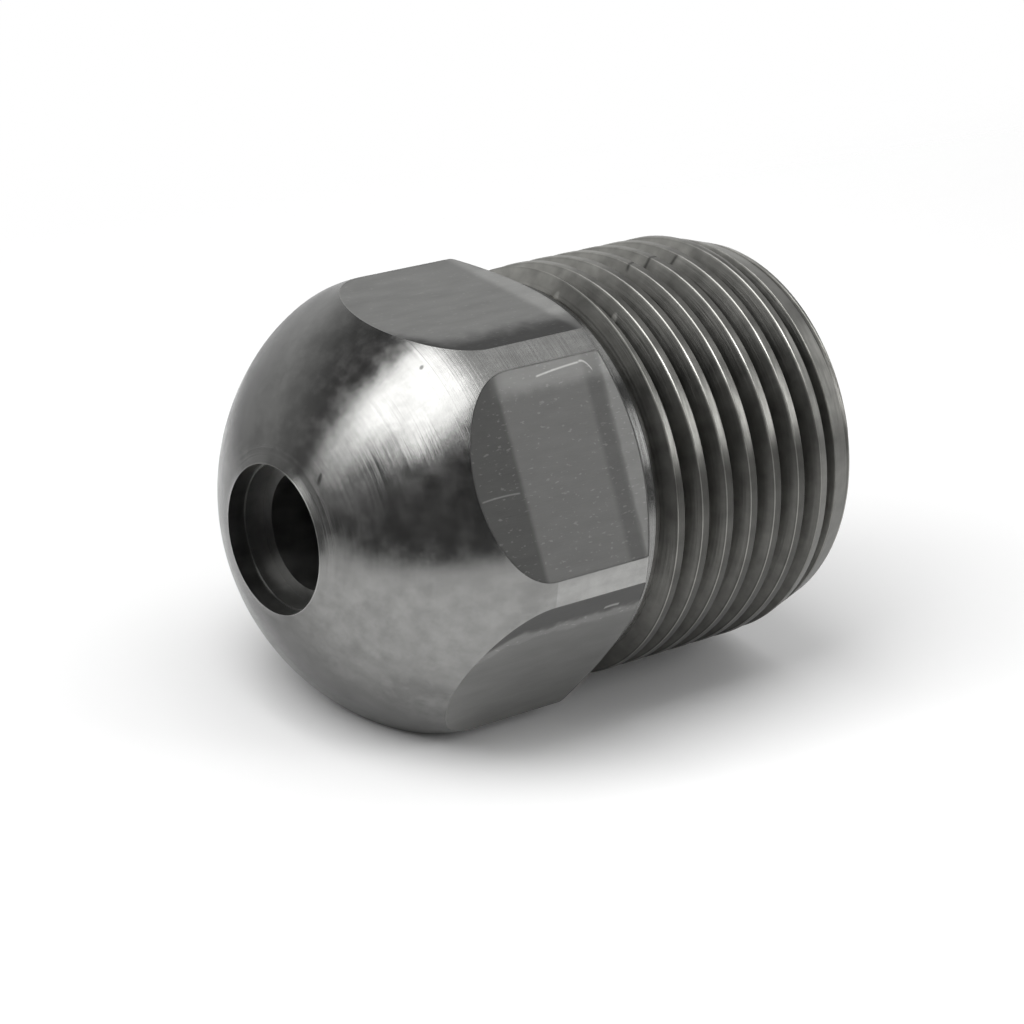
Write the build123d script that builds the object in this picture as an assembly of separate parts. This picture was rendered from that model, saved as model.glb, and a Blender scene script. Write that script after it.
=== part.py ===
from build123d import *
from math import acos, ceil, cos, degrees, radians, sin, tan
import os

# Nozzle tip in one piece: domed nose, hexagon head, neck and threaded shank, bored through.
# X runs along the axis from the nose to the threaded end, and Z is up.
# The origin is on the axis, in the plane where the chamfer behind the hexagon begins.
# All sizes are in millimetres and all angles in degrees.

# Hexagon head
across_flats = 19.0
head_over_flats = 2.3
head_length = 5.3
flat_count = 6
rear_chamfer_angle = 40.0
shoulder_under_flats = 0.1

# Domed nose: a shoulder arc that runs into a sphere centred on the axis
shoulder_arc_radius = 4.8
shoulder_arc_turn = 31.0

# Mouth in the nose and channel behind it
mouth_diameter = 6.9
mouth_depth = 0.9
mouth_edge_width = 0.3
mouth_edge_depth = 0.17
seat_step = 0.08
seat_depth = 1.0
channel_diameter = 5.5
inlet_chamfer = 1.0

# Neck between the head and the thread, just above the root of the thread
neck_over_root = 0.17
neck_length = 0.6

# Metric thread on a slightly undersized blank, so that its crests are flat
thread_nominal_diameter = 20.0
thread_pitch = 1.5
thread_flank_angle = 60.0
blank_under_nominal = 0.34
thread_depth_factor = 0.61343
thread_root_flat_factor = 1 / 6
thread_start_angle = 252.0
runout_clearance = 0.03

# Threaded shank
shank_length = 12.35
end_taper_length = 2.6
end_taper_drop = 0.73

# How far cutting bodies stand clear of what they cut
cutter_margin = 2.0
groove_top_clearance = 0.1


def arc_point(centre, radius, turn):
    """A point on an arc of the nose, by the angle turned since the full diameter of the head."""
    return (centre[0] - radius * sin(radians(turn)), centre[1] + radius * cos(radians(turn)))


# Radii and places that follow from the sizes
head_radius = (across_flats + head_over_flats) / 2
mouth_radius = mouth_diameter / 2
blank_radius = (thread_nominal_diameter - blank_under_nominal) / 2
root_radius = thread_nominal_diameter / 2 - thread_depth_factor * thread_pitch
neck_radius = root_radius + neck_over_root
shoulder_radius = across_flats / 2 - shoulder_under_flats
root_flat = thread_root_flat_factor * thread_pitch
flank_slope = tan(radians(thread_flank_angle / 2))

shoulder_centre = (-head_length, head_radius - shoulder_arc_radius)
dome_radius = shoulder_arc_radius + shoulder_centre[1] / cos(radians(shoulder_arc_turn))
dome_centre = arc_point(shoulder_centre, shoulder_arc_radius - dome_radius, shoulder_arc_turn)
dome_end_r = mouth_radius + mouth_edge_width
dome_turn = degrees(acos(dome_end_r / dome_radius))
dome_end = arc_point(dome_centre, dome_radius, dome_turn)
nose_x = dome_end[0] - mouth_edge_depth

shoulder_x = (head_radius - shoulder_radius) * tan(radians(rear_chamfer_angle))
neck_end_x = shoulder_x + neck_length
end_x = neck_end_x + shank_length
seat_x = nose_x + mouth_depth
channel_x = seat_x + seat_depth


def groove_half_width(radius):
    """Half the width of the thread groove at a distance from the axis."""
    return root_flat / 2 + (radius - root_radius) * flank_slope


def head_blank():
    """The turned head: edge of the mouth, dome, shoulder arc, full diameter and rear chamfer."""
    arcs = [
        (dome_centre, dome_radius, dome_turn, shoulder_arc_turn),
        (shoulder_centre, shoulder_arc_radius, shoulder_arc_turn, 0),
    ]
    with BuildPart() as head:
        with BuildSketch(Plane.XY):
            with BuildLine():
                Polyline(
                    (nose_x, 0),
                    (nose_x, mouth_radius),
                    dome_end,
                )
                for centre, radius, far_turn, near_turn in arcs:
                    ThreePointArc(
                        arc_point(centre, radius, far_turn),
                        arc_point(centre, radius, (far_turn + near_turn) / 2),
                        arc_point(centre, radius, near_turn),
                    )
                Polyline(
                    (-head_length, head_radius),
                    (0, head_radius),
                    (shoulder_x, shoulder_radius),
                    (shoulder_x, 0),
                    (nose_x, 0),
                )
            make_face()
        revolve(axis=Axis.X)
    return head.part


def hexagon_bar():
    """A hexagon bar that leaves the six milled flats on the head, one of them on top."""
    with BuildPart() as bar:
        with BuildSketch(Plane.YZ.offset(nose_x - cutter_margin)):
            RegularPolygon(
                radius=across_flats / 2,
                side_count=flat_count,
                major_radius=False,
            )
        extrude(amount=shoulder_x - nose_x + 2 * cutter_margin)
    return bar.part


def head():
    """The head with its six flats milled."""
    return head_blank() & hexagon_bar()


def shank_blank():
    """The turned neck, the run-out groove of the thread, the shank and its end taper."""
    runout_x = neck_end_x + groove_half_width(neck_radius)
    runout_r = root_radius - runout_clearance
    outline = [
        (0, 0),
        (0, neck_radius),
        (neck_end_x - runout_clearance, neck_radius),
        (runout_x - root_flat / 2 - runout_clearance, runout_r),
        (runout_x + root_flat / 2 + runout_clearance, runout_r),
        (runout_x + groove_half_width(blank_radius) + runout_clearance, blank_radius),
        (end_x - end_taper_length, blank_radius),
        (end_x, blank_radius - end_taper_drop),
        (end_x, 0),
    ]
    with BuildPart() as shank:
        with BuildSketch(Plane.XY):
            with BuildLine():
                Polyline(*outline, close=True)
            make_face()
        revolve(axis=Axis.X)
    return shank.part


def thread_groove():
    """The helical groove of the thread, turn by turn, from the run-out groove to past the end."""
    start_x = neck_end_x + groove_half_width(neck_radius)
    turns = ceil((end_x - start_x) / thread_pitch) + 1
    one_turn = Helix(thread_pitch, thread_pitch, root_radius)
    path = Wire([(Pos(0, 0, thread_pitch * turn) * one_turn).edge() for turn in range(turns)])
    top_radius = blank_radius + groove_top_clearance
    with BuildPart() as groove:
        with BuildSketch(Plane.XZ):
            with BuildLine():
                Polyline(
                    (root_radius, root_flat / 2),
                    (top_radius, groove_half_width(top_radius)),
                    (top_radius, -groove_half_width(top_radius)),
                    (root_radius, -root_flat / 2),
                    close=True,
                )
            make_face()
        sweep(path=path, is_frenet=True)
    along_axis = Plane(origin=(start_x, 0, 0), x_dir=(0, 0, -1), z_dir=(1, 0, 0))
    return along_axis * Rotation(0, 0, thread_start_angle) * groove.part


def shank():
    """The shank with its thread cut."""
    return shank_blank() - thread_groove()


def bore():
    """The mouth, the narrow seat behind it, the channel and its chamfer at the threaded end."""
    outline = [
        (nose_x - cutter_margin, 0),
        (nose_x - cutter_margin, mouth_radius),
        (seat_x, mouth_radius),
        (seat_x, mouth_radius - seat_step),
        (channel_x, mouth_radius - seat_step),
        (channel_x, channel_diameter / 2),
        (end_x - inlet_chamfer, channel_diameter / 2),
        (end_x, channel_diameter / 2 + inlet_chamfer),
        (end_x + cutter_margin, channel_diameter / 2 + inlet_chamfer),
        (end_x + cutter_margin, 0),
    ]
    with BuildPart() as hole:
        with BuildSketch(Plane.XY):
            with BuildLine():
                Polyline(*outline, close=True)
            make_face()
        revolve(axis=Axis.X)
    return hole.part


tip_body = head() + shank() - bore()

os.makedirs("parts", exist_ok=True)
export_step(tip_body, "parts/tip_body.step")
print("nose at x =", round(nose_x, 3), "end at x =", round(end_x, 3))
print("valid:", tip_body.is_valid, "solids:", len(tip_body.solids()), "volume:", round(tip_body.volume, 2))
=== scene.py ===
# %% [markdown]
# # A turned and milled nozzle tip
# The real part is one bar of hard steel. A lathe turned its domed nose, its neck and its threaded
# shank, a cutter milled six flats on the head, and a drill made the channel through it.
# This lesson builds the same part for a picture, in the frame of the CAD model: X runs along the
# axis from the nose to the threaded end, Z is up, and every length is in metres.

import bmesh
import bpy
from math import acos, ceil, cos, degrees, pi, radians, sin, sqrt, tan
from mathutils import Matrix, Vector


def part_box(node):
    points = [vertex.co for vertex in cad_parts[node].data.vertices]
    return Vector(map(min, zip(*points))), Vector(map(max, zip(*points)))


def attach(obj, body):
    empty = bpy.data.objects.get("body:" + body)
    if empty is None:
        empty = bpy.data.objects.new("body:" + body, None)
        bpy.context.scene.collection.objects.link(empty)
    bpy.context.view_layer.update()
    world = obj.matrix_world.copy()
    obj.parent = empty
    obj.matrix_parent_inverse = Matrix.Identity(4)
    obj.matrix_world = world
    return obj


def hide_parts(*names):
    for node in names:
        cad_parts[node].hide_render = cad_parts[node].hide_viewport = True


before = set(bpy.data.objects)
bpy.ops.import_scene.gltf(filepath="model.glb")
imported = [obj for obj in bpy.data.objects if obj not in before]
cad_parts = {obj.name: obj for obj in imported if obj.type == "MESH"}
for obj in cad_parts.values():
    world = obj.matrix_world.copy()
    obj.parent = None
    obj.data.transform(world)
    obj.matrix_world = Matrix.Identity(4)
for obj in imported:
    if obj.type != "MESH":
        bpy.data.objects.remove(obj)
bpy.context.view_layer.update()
tip_low, tip_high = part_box("tip_body")

# %% [markdown]
# ## Sizes
# A picture of a machined part is only as good as its sizes, so they are the ones of the CAD model.
# Both ends come from the frame. The rest are the sizes that a workshop drawing would give.

# %% Sizes from the drawing
mm = 0.001

nose_x = tip_low.x
end_x = tip_high.x
head_radius = tip_high.y
across_flats = 19.0 * mm
head_length = 5.3 * mm
shoulder_arc_radius = 4.8 * mm
shoulder_arc_turn = radians(31)
flat_count = 6
rear_chamfer_angle = radians(40)
shoulder_radius = 9.4 * mm

mouth_radius = 3.45 * mm
mouth_edge_width = 0.3 * mm
mouth_depth = 0.9 * mm
seat_radius = 3.37 * mm
seat_depth = 1.0 * mm
channel_radius = 2.75 * mm
inlet_chamfer = 1.0 * mm

neck_radius = 9.25 * mm
neck_length = 0.6 * mm

thread_pitch = 1.5 * mm
crest_radius = 9.83 * mm
thread_nominal_radius = 10.0 * mm
thread_depth_factor = 0.61343
root_radius = thread_nominal_radius - thread_depth_factor * thread_pitch
root_flat = thread_pitch / 6
flank_slope = tan(radians(30))
thread_start = radians(18)
runout_clearance = 0.03 * mm
end_taper_length = 2.6 * mm
end_taper_drop = 0.73 * mm
print("length in mm:", round((end_x - nose_x) / mm, 3))

# %% [markdown]
# ## The camera first
# The camera stands where the photographer stood.
# A long lens from about 16 cm gives the mild perspective, and a small roll tips the axis.

# %% Place the camera
camera_azimuth = radians(-41.517)
camera_elevation = radians(24.593)
camera_roll = radians(5.442)
camera_distance = 160.36 * mm
camera_aim = Vector((-1.68, -3.06, 0.09)) * mm

camera_turn = (
    Matrix.Rotation(camera_azimuth, 4, "Z")
    @ Matrix.Rotation(pi / 2 - camera_elevation, 4, "X")
    @ Matrix.Rotation(camera_roll, 4, "Z")
)
camera_data = bpy.data.cameras.new("camera")
camera_data.lens = 123.0
camera_data.sensor_width = 36.0
camera_data.clip_start = 10 * mm
camera = bpy.data.objects.new("camera", camera_data)
camera.matrix_world = (
    Matrix.Translation(camera_aim) @ camera_turn @ Matrix.Translation((0, 0, camera_distance))
)
bpy.context.scene.collection.objects.link(camera)
bpy.context.scene.camera = camera
print("camera at", [round(value / mm, 1) for value in camera.matrix_world.translation])

# %% [markdown]
# ## Turning
# A lathe makes a solid of revolution, and bmesh has the same move: a closed outline, drawn as
# distance along the axis and radius, spun once round the X axis. The outline keeps clear of the
# axis itself, as if the bar had a pilot hole, so the mesh has no pole where many edges meet.

# %% A helper that turns an outline
round_steps = 360
pilot_radius = 1.0 * mm
merge_distance = 0.001 * mm
x_axis = Vector((1, 0, 0))
origin = Vector((0, 0, 0))


def arc_point(centre, radius, turn):
    """A point on an arc of the nose, by the angle turned since the full diameter."""
    return (centre[0] - radius * sin(turn), centre[1] + radius * cos(turn))


def arc_between(centre, radius, start, stop, steps):
    """Evenly spaced points along an arc, both ends included."""
    turns = [start + (stop - start) * step / steps for step in range(steps + 1)]
    return [arc_point(centre, radius, turn) for turn in turns]


def turned(outline):
    """A bmesh of a closed outline of (x, radius) points, spun round the X axis."""
    mesh = bmesh.new()
    ring = [mesh.verts.new((x, 0, radius)) for x, radius in outline]
    for here, there in zip(ring, ring[1:] + ring[:1]):
        mesh.edges.new((here, there))
    bmesh.ops.spin(
        mesh,
        geom=mesh.verts[:] + mesh.edges[:],
        cent=origin,
        axis=x_axis,
        angle=2 * pi,
        steps=round_steps,
        use_merge=True,
    )
    bmesh.ops.remove_doubles(mesh, verts=mesh.verts, dist=merge_distance)
    bmesh.ops.recalc_face_normals(mesh, faces=mesh.faces)
    return mesh


def as_object(mesh, name):
    """An object in the scene that holds this bmesh."""
    data = bpy.data.meshes.new(name)
    mesh.to_mesh(data)
    mesh.free()
    shape = bpy.data.objects.new(name, data)
    bpy.context.scene.collection.objects.link(shape)
    return shape


def open_edge_count(mesh):
    """How many edges of a bmesh don't join exactly two faces; a closed shape has none."""
    return sum(not edge.is_manifold for edge in mesh.edges)


print("one turn has", round_steps, "steps")

# %% [markdown]
# ## The head
# The nose is a sphere centred on the axis that runs into the full diameter through a smaller arc.
# Behind the hexagon a chamfer runs down to the shoulder, as on a nut. The edge where it begins is
# slightly rounded, because a dead sharp edge would never catch the light.

# %% Turn the head
dome_steps = 42
shoulder_steps = 26
edge_steps = 8
shoulder_centre = (-head_length, head_radius - shoulder_arc_radius)
dome_radius = shoulder_arc_radius + shoulder_centre[1] / cos(shoulder_arc_turn)
dome_centre = arc_point(shoulder_centre, shoulder_arc_radius - dome_radius, shoulder_arc_turn)
dome_end_radius = mouth_radius + mouth_edge_width
dome_turn = acos(dome_end_radius / dome_radius)

shoulder_x = (head_radius - shoulder_radius) * tan(rear_chamfer_angle)
rear_edge_radius = 0.3 * mm
rear_edge_turn = pi / 2 - rear_chamfer_angle
rear_edge_centre = (-rear_edge_radius * tan(rear_edge_turn / 2), head_radius - rear_edge_radius)

head_outline = (
    [(nose_x, pilot_radius), (nose_x, mouth_radius)]
    + arc_between(dome_centre, dome_radius, dome_turn, shoulder_arc_turn, dome_steps)
    + arc_between(shoulder_centre, shoulder_arc_radius, shoulder_arc_turn, 0, shoulder_steps)[1:]
    + arc_between(rear_edge_centre, rear_edge_radius, 0, -rear_edge_turn, edge_steps)
    + [(shoulder_x, shoulder_radius), (shoulder_x, pilot_radius)]
)
head = turned(head_outline)
print("head blank faces:", len(head.faces))

# %% [markdown]
# ## Milling the flats
# A plane cuts away one side of the head for each flat. A sharp edge never catches the light as a
# real one does, so the plane first stops a hair too high, the new face is inset, and the inner
# part sinks to the true size: the ring between them is the broken edge.

# %% Mill six flats
flat_edge_lift = 0.018 * mm
flat_edge_width = 0.065 * mm


def flat_direction(index):
    """The outward direction of one flat, the first of them straight up."""
    turn = 2 * pi * index / flat_count
    return Vector((0, -sin(turn), cos(turn)))


def cut_away(mesh, point, normal):
    """Removes what lies beyond a plane and returns the face that closes the cut."""
    cut = bmesh.ops.bisect_plane(
        mesh,
        geom=mesh.verts[:] + mesh.edges[:] + mesh.faces[:],
        plane_co=point,
        plane_no=normal,
        clear_outer=True,
    )
    rim = [item for item in cut["geom_cut"] if isinstance(item, bmesh.types.BMEdge)]
    return bmesh.ops.edgenet_fill(mesh, edges=rim)["faces"]


flat_directions = [flat_direction(index) for index in range(flat_count)]
for direction in flat_directions:
    flat = cut_away(head, direction * (across_flats / 2 + flat_edge_lift), direction)
    bmesh.ops.recalc_face_normals(head, faces=head.faces)
    bmesh.ops.inset_region(
        head, faces=flat, thickness=flat_edge_width, depth=-flat_edge_lift, use_even_offset=True
    )
print("faces after milling:", len(head.faces), "open edges:", open_edge_count(head))
tip = as_object(head, "nozzle_tip")

# %% [markdown]
# ## The shank
# Behind the shoulder the lathe left a short neck with a rounded edge, a groove where the threading
# tool runs out, and the blank of the thread with a long taper at its end.

# %% Turn the shank
neck_end_x = shoulder_x + neck_length
neck_edge_radius = 0.09 * mm
neck_edge_steps = 6
neck_edge_turn = pi / 3
neck_edge_start = neck_end_x - neck_edge_radius * tan(neck_edge_turn / 2)
neck_edge_centre = (neck_edge_start, neck_radius - neck_edge_radius)


def groove_half_width(radius):
    """Half the width of the thread groove at a distance from the axis."""
    return root_flat / 2 + (radius - root_radius) * flank_slope


runout_x = neck_end_x + groove_half_width(neck_radius)
shank_outline = (
    [(0, pilot_radius), (0, neck_radius)]
    + arc_between(neck_edge_centre, neck_edge_radius, 0, -neck_edge_turn, neck_edge_steps)
    + [
        (runout_x - root_flat / 2 - runout_clearance, root_radius - runout_clearance),
        (runout_x + root_flat / 2 + runout_clearance, root_radius - runout_clearance),
        (runout_x + groove_half_width(crest_radius) + runout_clearance, crest_radius),
        (end_x - end_taper_length, crest_radius),
        (end_x, crest_radius - end_taper_drop),
        (end_x, pilot_radius),
    ]
)
shank = as_object(turned(shank_outline), "shank_blank")
print("shank blank faces:", len(shank.data.polygons))

# %% [markdown]
# ## The thread
# A threading tool is a small trapezoid that moves one pitch along the bar with each turn. Spin has
# a step vector for exactly that. The section widens sharply just under the crest, and this leaves
# the fine bright edge on both sides of each crest. Its sweep is cut from the blank with a Boolean.

# %% Sweep the threading tool
crest_edge_drop = 0.035 * mm
crest_edge_width = 0.04 * mm
tool_clearance = 0.05 * mm
turn_steps = 180
turns = ceil((end_x - runout_x) / thread_pitch) + 1

edge_radius = crest_radius - crest_edge_drop
edge_half_width = groove_half_width(edge_radius)
top_radius = crest_radius + tool_clearance
top_half_width = edge_half_width + crest_edge_width * (top_radius - edge_radius) / crest_edge_drop
tool_section = [
    (-root_flat / 2, root_radius),
    (-edge_half_width, edge_radius),
    (-top_half_width, top_radius),
    (top_half_width, top_radius),
    (edge_half_width, edge_radius),
    (root_flat / 2, root_radius),
]
outwards = Vector((0, -cos(thread_start), sin(thread_start)))
sweep = bmesh.new()
section = sweep.faces.new(
    [sweep.verts.new(x_axis * (runout_x + x) + outwards * radius) for x, radius in tool_section]
)
bmesh.ops.spin(
    sweep,
    geom=[section],
    cent=origin,
    axis=x_axis,
    dvec=x_axis * (thread_pitch / turn_steps),
    angle=2 * pi * turns,
    steps=turn_steps * turns,
)
bmesh.ops.recalc_face_normals(sweep, faces=sweep.faces)
print("sweep faces:", len(sweep.faces), "open edges:", open_edge_count(sweep))
threading_tool = as_object(sweep, "threading_tool")

# %% [markdown]
# ## The channel
# One more turned outline stands for the drills: a mouth, a narrow seat behind it, the channel, and
# a chamfer at the threaded end.

# %% Turn the drills
drill_core = 0.5 * mm
drill_overrun = 2.0 * mm
seat_x = nose_x + mouth_depth
channel_x = seat_x + seat_depth
drill_outline = [
    (nose_x - drill_overrun, drill_core),
    (nose_x - drill_overrun, mouth_radius),
    (seat_x, mouth_radius),
    (seat_x, seat_radius),
    (channel_x, seat_radius),
    (channel_x, channel_radius),
    (end_x - inlet_chamfer, channel_radius),
    (end_x, channel_radius + inlet_chamfer),
    (end_x + drill_overrun, channel_radius + inlet_chamfer),
    (end_x + drill_overrun, drill_core),
]
drills = as_object(turned(drill_outline), "drills")
print("drill faces:", len(drills.data.polygons))

# %% [markdown]
# ## Cutting and joining
# The thread and the channel are cut with Boolean modifiers, whose Manifold solver is exact on
# closed shapes. Each result is kept as a plain mesh, and its open edges and volume are printed.

# %% Cut and join the shapes


def carve(shape, other, operation):
    """Cuts, joins or intersects one closed shape with another and throws the other away."""
    boolean = shape.modifiers.new(operation, "BOOLEAN")
    boolean.object = other
    boolean.operation = operation
    boolean.solver = "MANIFOLD"
    graph = bpy.context.evaluated_depsgraph_get()
    data = bpy.data.meshes.new_from_object(shape.evaluated_get(graph))
    shape.modifiers.clear()
    shape.data = data
    bpy.data.objects.remove(other)
    print(operation.lower(), "left", len(data.polygons), "faces")


carve(shank, threading_tool, "DIFFERENCE")
carve(tip, shank, "UNION")
carve(tip, drills, "DIFFERENCE")
check = bmesh.new()
check.from_mesh(tip.data)
print("open edges:", open_edge_count(check))
print("volume in cubic mm:", round(check.calc_volume() / mm**3, 1))
check.free()

# %% [markdown]
# Round faces are shaded smooth, and every edge that turns by more than a few degrees stays sharp.
# Each face also gets the finish that made it: turned, milled or threaded.

# %% Smooth the round faces and sort them by finish
TURNED, MILLED, THREADED = range(3)
sharp_angle = radians(12)
least_facing = 0.95
least_flat_height = across_flats / 2 - 0.01 * mm
least_thread_radius = root_radius - 0.1 * mm
tip.data.materials.clear()
for face in tip.data.polygons:
    face.use_smooth = True
    facing = max(face.normal.dot(direction) for direction in flat_directions)
    height = max(face.center.dot(direction) for direction in flat_directions)
    radius = Vector((0, face.center.y, face.center.z)).length
    on_head = face.center.x < shoulder_x
    if on_head and facing > least_facing and height > least_flat_height:
        face.material_index = MILLED
    elif face.center.x > neck_end_x and radius > least_thread_radius:
        face.material_index = THREADED
    else:
        face.material_index = TURNED
tip.data.set_sharp_from_angle(angle=sharp_angle)
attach(tip, "root")
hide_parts("tip_body")
finishes = [face.material_index for face in tip.data.polygons]
print("turned, milled and threaded faces:", [finishes.count(kind) for kind in range(3)])

# %% [markdown]
# ## Arithmetic for shader nodes
# A finish is a handful of formulas. This small class lets them be written as formulas: it wraps
# one socket, and each operator adds the Math node that does the work.


# %% Sockets that do arithmetic
class Wire:
    """One socket of a node tree that adds a Math node for each operator used on it."""

    def __init__(self, recipe, socket):
        self.recipe = recipe
        self.socket = socket

    def math(self, operation, *values):
        """The result of a Math node that works on this socket and these values."""
        inputs = dict(enumerate((self, *values)))
        return self.recipe.node("ShaderNodeMath", {"operation": operation}, inputs)

    def __add__(self, other):
        return self.math("ADD", other)

    def __sub__(self, other):
        return self.math("SUBTRACT", other)

    def __mul__(self, other):
        return self.math("MULTIPLY", other)

    def __truediv__(self, other):
        return self.math("DIVIDE", other)

    def __rsub__(self, other):
        return self.recipe.node("ShaderNodeMath", {"operation": "SUBTRACT"}, {0: other, 1: self})

    __radd__ = __add__
    __rmul__ = __mul__

    def smooth(self, start, stop):
        """Rises smoothly from 0 at start to 1 at stop."""
        return self.recipe.node(
            "ShaderNodeMapRange",
            {"interpolation_type": "SMOOTHSTEP"},
            {"Value": self, "From Min": start, "From Max": stop},
        )


# %% [markdown]
# All other nodes are added by one method too. It sets the node first, then fills its sockets with
# values or links, and hands back an output that is ready for the next formula.


# %% A recipe that adds nodes
class Recipe:
    """A node tree that is filled node by node."""

    def __init__(self, tree):
        self.tree = tree
        tree.nodes.clear()

    def node(self, kind, settings=None, inputs=None, output=0):
        """Adds a node, sets it, feeds its sockets and returns one of its outputs, if it has any."""
        made = self.tree.nodes.new(kind)
        for name, value in (settings or {}).items():
            setattr(made, name, value)
        for name, value in (inputs or {}).items():
            if isinstance(value, Wire):
                self.tree.links.new(value.socket, made.inputs[name])
            else:
                made.inputs[name].default_value = value
        return Wire(self, made.outputs[output]) if made.outputs else made

    def mix(self, factor, here, there):
        """A colour between two colours."""
        return self.node(
            "ShaderNodeMix",
            {"data_type": "RGBA"},
            {"Factor": factor, "A": here, "B": there},
            output="Result",
        )

    def noise(self, vector, scale, detail=2.0, roughness=0.5):
        """Soft noise between 0 and 1 with a scale in cells per millimetre."""
        return self.node(
            "ShaderNodeTexNoise",
            {"noise_dimensions": "3D"},
            {"Vector": vector, "Scale": scale, "Detail": detail, "Roughness": roughness},
        )

    def vector(self, x, y, z):
        """A vector made of three values."""
        return self.node("ShaderNodeCombineXYZ", None, {0: x, 1: y, 2: z})

    def axes(self, vector):
        """The x, y and z of a vector."""
        return [self.node("ShaderNodeSeparateXYZ", None, {0: vector}, axis) for axis in range(3)]

    def rays(self):
        """Three switches, each 1 for one kind of ray: camera, glossy and transmission."""
        kinds = ("Camera", "Glossy", "Transmission")
        return [self.node("ShaderNodeLightPath", output=f"Is {kind} Ray") for kind in kinds]


# %% [markdown]
# ## Steel
# All three finishes start from the place on the part, in millimetres: how far along the axis, and
# how far from it. Turning leaves rings, so its pattern changes with those two alone and not round
# the axis. Rings finer than the eye can split still matter: they throw the light along the
# profile and hardly round the part, and that makes the straight bright streaks on a turned nose.

# %% Start and finish a steel material
BLACK = (0.0, 0.0, 0.0, 1.0)
STEEL_TINT = (1.0, 1.0, 0.975, 1.0)
OIL_TINT = (1.0, 0.99, 0.93, 1.0)


def steel_recipe(name):
    """A new material with its recipe and the place on the part in millimetres."""
    material = bpy.data.materials.new(name)
    material.use_nodes = True
    recipe = Recipe(material.node_tree)
    object_place = recipe.node("ShaderNodeTexCoord", output="Object")
    place = recipe.node(
        "ShaderNodeVectorMath", {"operation": "SCALE"}, {0: object_place, "Scale": 1 / mm}
    )
    return material, recipe, place


def steel_surface(recipe, tone, tint, roughness, height, depth):
    """Joins a tinted tone, a roughness and a height map of this depth in metres to the output."""
    colour = recipe.mix(tone, BLACK, tint)
    bump = recipe.node("ShaderNodeBump", None, {"Height": height, "Distance": depth})
    shader = recipe.node(
        "ShaderNodeBsdfPrincipled",
        None,
        {"Base Color": colour, "Roughness": roughness, "Metallic": 1.0, "Normal": bump},
    )
    recipe.node("ShaderNodeOutputMaterial", None, {"Surface": shader})
    print("nodes in this material:", len(recipe.tree.nodes))


# %% [markdown]
# Wear is drawn with masks, formulas that are 1 on a mark and 0 beside it. Each mask then changes
# the tone by a share of its own.


# %% Helpers for marks
def length(first, second):
    """The length of a step whose parts in two directions are given."""
    return (first * first + second * second).math("SQRT")


def band(value, start, stop, blur):
    """1 between two values and 0 outside them, with soft ends."""
    return value.smooth(start - blur, start) * (1 - value.smooth(stop, stop + blur))


def scratch(along, across, start, stop, height, sag, width):
    """1 on a thin curved line, whose ends lie below its middle by the sag, and 0 beside it."""
    end_blur = 0.1
    from_middle = (along - (start + stop) / 2) / ((stop - start) / 2)
    offset = across - height + from_middle * from_middle * sag
    line = 1 - offset.math("ABSOLUTE").smooth(0, width)
    return band(from_middle, end_blur - 1, 1 - end_blur, end_blur) * line


def spot(first, second, centre, size):
    """1 in the middle of a round spot, and 0 further from its centre than its size."""
    core = size * 0.4
    return 1 - length(first - centre[0], second - centre[1]).smooth(core, size)


def changed(tone, changes):
    """A tone that each mask makes brighter by its share, or darker by a negative share."""
    for mask, share in changes:
        tone = tone * (1 + share * mask)
    return tone


# %% [markdown]
# ## Turned steel
# The nose, the neck and the channel are bright from the lathe and darker where hands and oil
# dulled them: in cloudy blotches, and as grime behind the hexagon. Painted shade darkens the far
# and low side, and a blotchy patch low on the front of the nose.

# %% Rings and clouds of the turned steel
turned_ring_depth = 0.005 * mm
turned_steel, recipe, place = steel_recipe("turned_steel")
x, y, z = recipe.axes(place)
radius = length(y, z)
along_profile = recipe.vector(x, radius, 0.0)
fine_rings = recipe.noise(along_profile, 55.0, detail=1.0)
wide_rings = recipe.noise(along_profile, 2.2, detail=3.0)
cloud = recipe.noise(place, 0.35, detail=2.0)
blotches = recipe.noise(place, 0.9, detail=5.0, roughness=0.6)
smears = recipe.noise(recipe.vector(x * 0.15, y, z), 1.1, detail=4.0, roughness=0.6)
print("nodes for rings and clouds:", len(recipe.tree.nodes))

# %% [markdown]
# A narrow bright strip runs along the full diameter below the front flat, and two small pits lie
# on the dome. The mouth is rougher than the nose, so it scatters a little light inside, and its
# inside is also painted brighter as painted light.

# %% Marks, painted shade and painted light on the turned steel
full_radius = head_radius / mm
mouth_rim = mouth_radius / mm
side_pit = (-12.48, -2.44)
top_pit = (-8.34, -3.77)
painted_low_front_shade_centre = (-6.8, -6.6)

# Painted shade: the turned steel is darker on its far and low side, with a cloudy border.
painted_far_low_shade = (y * 0.85 - z * 0.55 + cloud * 2.0 - 1.0).smooth(-2.8, 3.0)
at_full_radius = radius.smooth(full_radius - 0.1, full_radius - 0.03)
strip = band(x, -5.25, 2.0, 0.1) * at_full_radius * (1 - z.smooth(3.0, 4.0))
grime = band(x, 0.1, 1.04, 0.06) * blotches.smooth(0.42, 0.55)
side_pit_mask = spot(x, y, side_pit, size=0.13) * z.smooth(0.0, 1.0)
top_pit_mask = spot(x, y, top_pit, size=0.12) * z.smooth(8.0, 8.4)
# Painted light: the inside of the mouth is painted brighter, besides being rougher.
painted_light_in_mouth = (1 - radius.smooth(mouth_rim - 0.05, mouth_rim + 0.07)) * (1 - x.smooth(-10.0, -4.0))
# Painted shade: a blotchy darker patch low on the front of the nose.
painted_low_front_shade = spot(y, z, painted_low_front_shade_centre, size=3.2) * (1 - x.smooth(-8.0, -5.5))
painted_low_front_shade = painted_low_front_shade * blotches.smooth(0.35, 0.6)
print("pits at:", [side_pit, top_pit], "from the origin, in mm")

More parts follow.
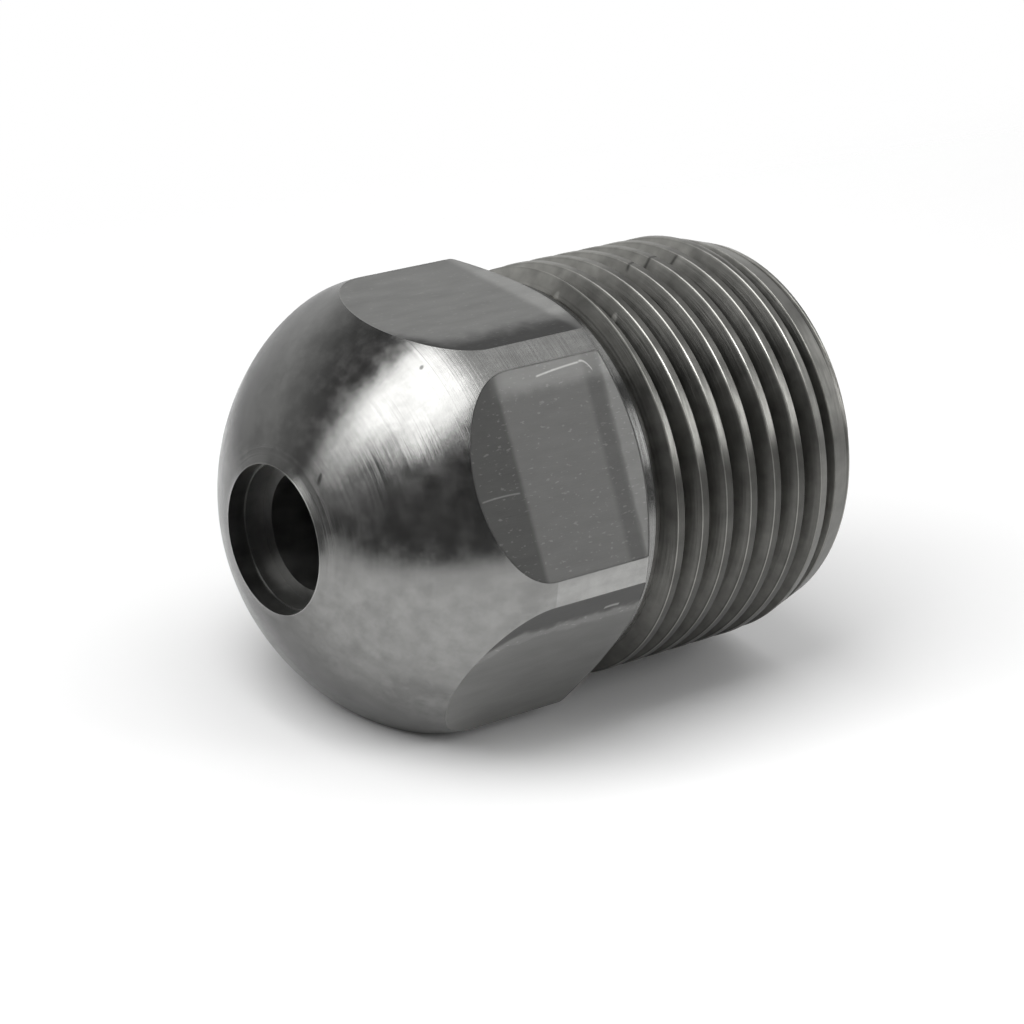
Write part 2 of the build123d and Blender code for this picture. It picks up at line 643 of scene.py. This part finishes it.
# %% Tone of the turned steel
clouding = 0.045 * blotches.smooth(0.35, 0.65) + 0.04 * smears.smooth(0.3, 0.7)
tone = changed(
    0.193 + 0.03 * wide_rings + clouding,
    [
        (painted_far_low_shade, -0.64),
        (painted_low_front_shade, -0.35),
        (strip, 0.24),
        (grime, -0.45),
        (side_pit_mask + top_pit_mask, -0.6),
        (painted_light_in_mouth, 0.9),
    ],
)
roughness = 0.14 + 0.04 * wide_rings + 0.1 * blotches.smooth(0.35, 0.7)
roughness = roughness + 0.2 * painted_light_in_mouth + 0.2 * grime
steel_surface(recipe, tone, STEEL_TINT, roughness, fine_rings, turned_ring_depth)

# %% [markdown]
# ## Milled steel
# The flats are matt, with fine lines along the part. Each one in view has its own wear, and the
# front and top flats also carry painted shade. A flat is found by its height along its own
# direction, and a place on it by the distance across.

# %% Lines of the milled steel
milled_line_depth = 0.004 * mm
milled_steel, recipe, place = steel_recipe("milled_steel")
x, y, z = recipe.axes(place)
fine_lines = recipe.noise(recipe.vector(x * 0.12, y, z), 14.0, detail=1.0)
wide_lines = recipe.noise(recipe.vector(x * 0.3, y, z), 1.5, detail=4.0)
speck_noise = recipe.noise(recipe.vector(x * 1.3, y * 3.0, z * 3.0), 2.5, detail=2.0)
specks = speck_noise.smooth(0.62, 0.72)
wobble = recipe.noise(place, 1.3, detail=3.0) - 0.5


def flat_places(index, y, z):
    """A mask that is 1 on one flat, and the distance across that flat."""
    turn = 2 * pi * index / flat_count
    height = z * cos(turn) - y * sin(turn)
    across = z * sin(turn) + y * cos(turn)
    flat_height = across_flats / 2 / mm
    return height.smooth(flat_height - 0.1, flat_height - 0.04), across


on_top, top_across = flat_places(0, y, z)
on_front, front_across = flat_places(1, y, z)
on_lower, lower_across = flat_places(2, y, z)
print("nodes for lines and places:", len(recipe.tree.nodes))

# %% [markdown]
# The front flat is darker ahead of a step where another tool began. Its upper rim is worn pale,
# and two thin scratches under that rim and one lower down catch the light.

# %% Wear and painted shade of the front flat
step_line = x + front_across * 0.02
front_step = 1 - step_line.smooth(-6.1, -5.75)
front_rim = (front_across + wobble * 0.6).smooth(3.3, 4.1) * x.smooth(-6.6, -5.4)
rear_edge = (x + wobble * 0.3).smooth(-0.15, 0.1)
# Painted shade in a band just ahead of the rear end of the front flat.
rear_shade = band(x, -0.85, -0.35, 0.4)
long_scratch = scratch(
    x, front_across - x * 0.08, start=-3.8, stop=-1.2, height=4.53, sag=0.03, width=0.07
)
hook_scratch = scratch(
    x, front_across, start=-1.75, stop=-0.55, height=4.44, sag=0.55, width=0.08
)
low_scratch = scratch(
    x, front_across, start=-8.3, stop=-6.1, height=-0.54, sag=0.05, width=0.06
)
front_scratches = 1.5 * (long_scratch + hook_scratch * x.smooth(-1.3, -1.15)) + 0.5 * low_scratch
front_tone = 0.8 - 0.34 * front_step + 0.5 * front_rim + 0.3 * rear_edge - 0.2 * rear_shade
front_tone = front_tone + front_scratches + 0.3 * specks
print("nodes after the front flat:", len(recipe.tree.nodes))

# %% [markdown]
# The top flat carries a painted shade along its near edge and is pale at the rear. The lower flat
# is dark along its upper edge, where specks and one nick shine.

# %% Wear and painted shade of the top flat and the lower flat
# Painted shade along the near edge of the top flat, wider towards the nose.
top_painted_shade_line = top_across + wobble - 1.8 * (1 - x.smooth(-8.6, -6.5))
top_tone = 0.36 + 1.2 * top_painted_shade_line.smooth(-4.1, -2.4) + 0.7 * x.smooth(-0.5, 0.1) + 0.25 * specks

lower_line = lower_across + wobble * 0.8 + (1 - x.smooth(-8.5, -6.5))
nick = scratch(x, lower_across, start=-1.75, stop=-0.85, height=3.45, sag=0.05, width=0.16)
lower_tone = 1.15 - 0.3 * lower_across.smooth(-4.5, 1.5) - 0.45 * lower_line.smooth(2.8, 3.4)
lower_tone = lower_tone + 1.1 * nick + band(lower_line, 2.6, 2.9, 0.3) * (0.2 + 0.6 * specks)
print("nodes after all flats:", len(recipe.tree.nodes))

# %% Tone of the milled steel
wear_and_painted_shade = [(on_front, front_tone - 1), (on_top, top_tone - 1), (on_lower, lower_tone - 1)]
tone = changed(0.19 + 0.11 * wide_lines, wear_and_painted_shade)
roughness = 0.4 + 0.1 * wide_lines
steel_surface(recipe, tone, STEEL_TINT, roughness, fine_lines, milled_line_depth)

# %% [markdown]
# ## Threaded steel
# The thread is dull with old oil, which gives it a slightly warm grey. Its crests are streaked,
# and their edges stay bright where a mating thread slid. On the near side both carry a painted
# highlight.

# %% Crests and flanks of the threaded steel
thread_line_depth = 0.01 * mm
taper_start = (end_x - end_taper_length) / mm
taper_slope = end_taper_drop / end_taper_length
threaded_steel, recipe, place = steel_recipe("threaded_steel")
x, y, z = recipe.axes(place)
radius = length(y, z)
thread_lines = recipe.noise(recipe.vector(x, radius, 0.0), 9.0, detail=2.0)
patches = recipe.noise(place, 1.2, detail=4.0)
streaks = recipe.noise(recipe.vector(x * 4.0, y * 0.5, z * 0.5), 1.5, detail=3.0)
under_crest = crest_radius / mm - radius - (x - taper_start).math("MAXIMUM", 0.0) * taper_slope
on_crest = 1 - under_crest.smooth(0.03, 0.13)
on_edge = (1 - under_crest.smooth(0.03, 0.045)) * under_crest.smooth(0.001, 0.008)
print("taper starts at", round(taper_start, 2), "mm, slope", round(taper_slope, 3))

# %% [markdown]
# Where the shank faces matters as much as the crest: a painted highlight runs along one line of
# the near side, and a painted shade along one above it. The thread is painted lighter towards the
# top and on its far top side. A dark scratch runs across the crests on top, and two burrs shine
# beside it.


# %% Wear, painted light and painted shade of the threaded steel
def facing_near_side(elevation, y, z, radius):
    """How squarely the shank faces the near side at an elevation in degrees, at most 1."""
    turn = radians(elevation)
    return (z * sin(turn) - y * cos(turn)) / radius


# Painted highlight where the shank faces the near side at 38 degrees above the horizon.
painted_glint = facing_near_side(38, y, z, radius).smooth(0.945, 0.99)
# Painted shade on the flanks where the shank faces the near side at 65 degrees above the horizon.
painted_flank_shade = facing_near_side(65, y, z, radius).smooth(0.85, 0.97)
# Painted light: the crests are lighter towards the top and darker low down.
painted_upper_light = z.smooth(-3.0, 8.0)
# Painted light on the far top side of the thread, broken up by patches.
painted_far_top_light = (y + 0.6 * patches).smooth(-3.0, 2.5) * z.smooth(5.0, 8.5)
on_end = x.smooth(11.3, 11.6)
gouge = scratch(x, y, start=6.4, stop=9.7, height=0.0, sag=0.3, width=0.16) * z.smooth(8.0, 8.5)
burr_places = [(2.04, -0.45), (3.35, -3.08)]
burrs = [spot(x, y, centre, size=0.2) * z.smooth(8.0, 8.4) for centre in burr_places]
print("burrs at:", burr_places, "from the origin, in mm")

# %% Tone of the threaded steel
crest_tone = 0.08 + 0.1 * painted_upper_light + 0.2 * painted_far_top_light + 0.07 * on_end + 0.42 * painted_glint * streaks
flank_tone = (0.15 + 0.3 * painted_far_top_light) * (1 - 0.35 * painted_flank_shade)
tone = flank_tone + (crest_tone - flank_tone) * on_crest + (0.18 + 0.25 * painted_glint) * on_edge
tone = tone * (0.6 + 0.8 * patches) * (1 - 0.6 * gouge)
for burr in burrs:
    tone = tone + 0.14 * burr
roughness = 0.36 + 0.1 * patches - 0.06 * painted_glint
steel_surface(recipe, tone, OIL_TINT, roughness, thread_lines, thread_line_depth)

for material in (turned_steel, milled_steel, threaded_steel):
    tip.data.materials.append(material)
print("finishes:", [material.name for material in tip.data.materials])

# %% [markdown]
# ## Floor
# The part is not symmetrical end to end, so it lies a little nose down: the bottom flat touches
# with the front of its arc, and the thread with its first crest. The floor is laid through both.

# %% Lay the floor
flat_front_x = dome_centre[0] - sqrt(dome_radius**2 - (across_flats / 2) ** 2)
first_crest_x = runout_x + groove_half_width(crest_radius) + runout_clearance
floor_slope = (crest_radius - across_flats / 2) / (first_crest_x - flat_front_x)
floor_level = -across_flats / 2 + flat_front_x * floor_slope
floor_near = Vector((-60, -130)) * mm
floor_far = Vector((130, 62)) * mm
corners = [
    (floor_near.x, floor_near.y),
    (floor_far.x, floor_near.y),
    (floor_far.x, floor_far.y),
    (floor_near.x, floor_far.y),
]
floor_mesh = bmesh.new()
floor_mesh.faces.new(
    [floor_mesh.verts.new((x, y, floor_level - x * floor_slope)) for x, y in corners]
)
floor = as_object(floor_mesh, "floor")
print("floor slope in degrees:", round(degrees(floor_slope), 2))

# %% [markdown]
# The floor is white for the eye and a softer grey for the light that it throws back at the part.
# Its border fades away, so that no edge shows against the white backdrop.

# %% Paint the floor
WHITE = (1.0, 1.0, 1.0, 1.0)
SOFT_GREY = (0.6, 0.6, 0.6, 1.0)
floor_fade = 30 * mm
white_floor = bpy.data.materials.new("white_floor")
white_floor.use_nodes = True
recipe = Recipe(white_floor.node_tree)
camera_ray, glossy_ray, transmission_ray = recipe.rays()
floor_colour = recipe.mix(camera_ray + glossy_ray + transmission_ray, SOFT_GREY, WHITE)
paint = recipe.node("ShaderNodeBsdfDiffuse", None, {"Color": floor_colour})
x, y = recipe.axes(recipe.node("ShaderNodeTexCoord", output="Object"))[:2]
solid = band(x, floor_near.x + floor_fade, floor_far.x - floor_fade, floor_fade)
solid = solid * band(y, floor_near.y + floor_fade, floor_far.y - floor_fade, floor_fade)
clear = recipe.node("ShaderNodeBsdfTransparent")
soft_edge = recipe.node("ShaderNodeMixShader", None, {0: solid, 1: clear, 2: paint})
recipe.node("ShaderNodeOutputMaterial", None, {"Surface": soft_edge})
floor.data.materials.append(white_floor)
print("nodes in the floor's material:", len(recipe.tree.nodes))

# %% [markdown]
# ## Light
# Metal shows its surroundings more than its own colour, so the lamps are placed for their
# reflections: a large box above the nose end makes the broad highlight, and cards below it soften
# its lower border. A narrow strip lights the right side, and two faint boxes fill from above and
# behind.

# %% Hang the soft boxes
lamp_distance = 0.5


def direction_to(azimuth, elevation):
    """The unit vector towards a compass direction and a height above the horizon, in degrees."""
    return Vector(
        (
            cos(radians(elevation)) * cos(radians(azimuth)),
            cos(radians(elevation)) * sin(radians(azimuth)),
            sin(radians(elevation)),
        )
    )


def soft_box(name, azimuth, elevation, width, height, radiance):
    """A rectangular lamp that faces the part and is this many times as bright as white."""
    lamp = bpy.data.lights.new(name, "AREA")
    lamp.shape = "RECTANGLE"
    lamp.size = width
    lamp.size_y = height
    lamp.energy = radiance * pi * width * height
    box = bpy.data.objects.new(name, lamp)
    box.location = direction_to(azimuth, elevation) * lamp_distance
    box.rotation_euler = (-box.location).to_track_quat("-Z", "Y").to_euler()
    bpy.context.scene.collection.objects.link(box)
    print(name, "in W:", round(lamp.energy, 2))


soft_box("left_box", azimuth=-178, elevation=58, width=0.36, height=0.44, radiance=4.0)
soft_box("left_card", azimuth=163, elevation=27, width=0.18, height=0.3, radiance=1.6)
soft_box("low_card", azimuth=176, elevation=9, width=0.16, height=0.1, radiance=0.5)
soft_box("top_box", azimuth=0, elevation=90, width=0.35, height=0.4, radiance=1.0)
soft_box("right_strip", azimuth=-47, elevation=28, width=0.1, height=0.24, radiance=3.2)
soft_box("back_box", azimuth=0, elevation=55, width=0.25, height=0.2, radiance=1.0)

# %% [markdown]
# The camera sees a white backdrop. Reflections see a dim room, paler at the horizon and towards
# the wall behind the part. Soft light from the same room fills the shadows.

# %% Paint the room
world = bpy.data.worlds.new("studio")
bpy.context.scene.world = world
world.use_nodes = True
recipe = Recipe(world.node_tree)
dx, dy, dz = recipe.axes(recipe.node("ShaderNodeTexCoord", output="Generated"))
camera_ray, glossy_ray, transmission_ray = recipe.rays()
behind = (0.64 * dx + 0.77 * dy).smooth(-0.3, 0.9)
horizon = 1 - dz.math("ABSOLUTE").smooth(0.15, 0.75)
reflected = 0.05 + 0.05 * horizon + 0.1 * behind + 0.5 * behind * horizon
ambient = 0.1 + 0.5 * (0.9 * dx - 0.4 * dy).smooth(-0.5, 1.0)
strength = ambient + glossy_ray * (reflected - ambient)
strength = strength + (camera_ray + transmission_ray) * (1 - ambient)
sky = recipe.node("ShaderNodeBackground", None, {"Color": WHITE, "Strength": strength})
recipe.node("ShaderNodeOutputWorld", None, {"Surface": sky})
bpy.context.scene.view_settings.view_transform = "Standard"
print("nodes in the world:", len(recipe.tree.nodes))
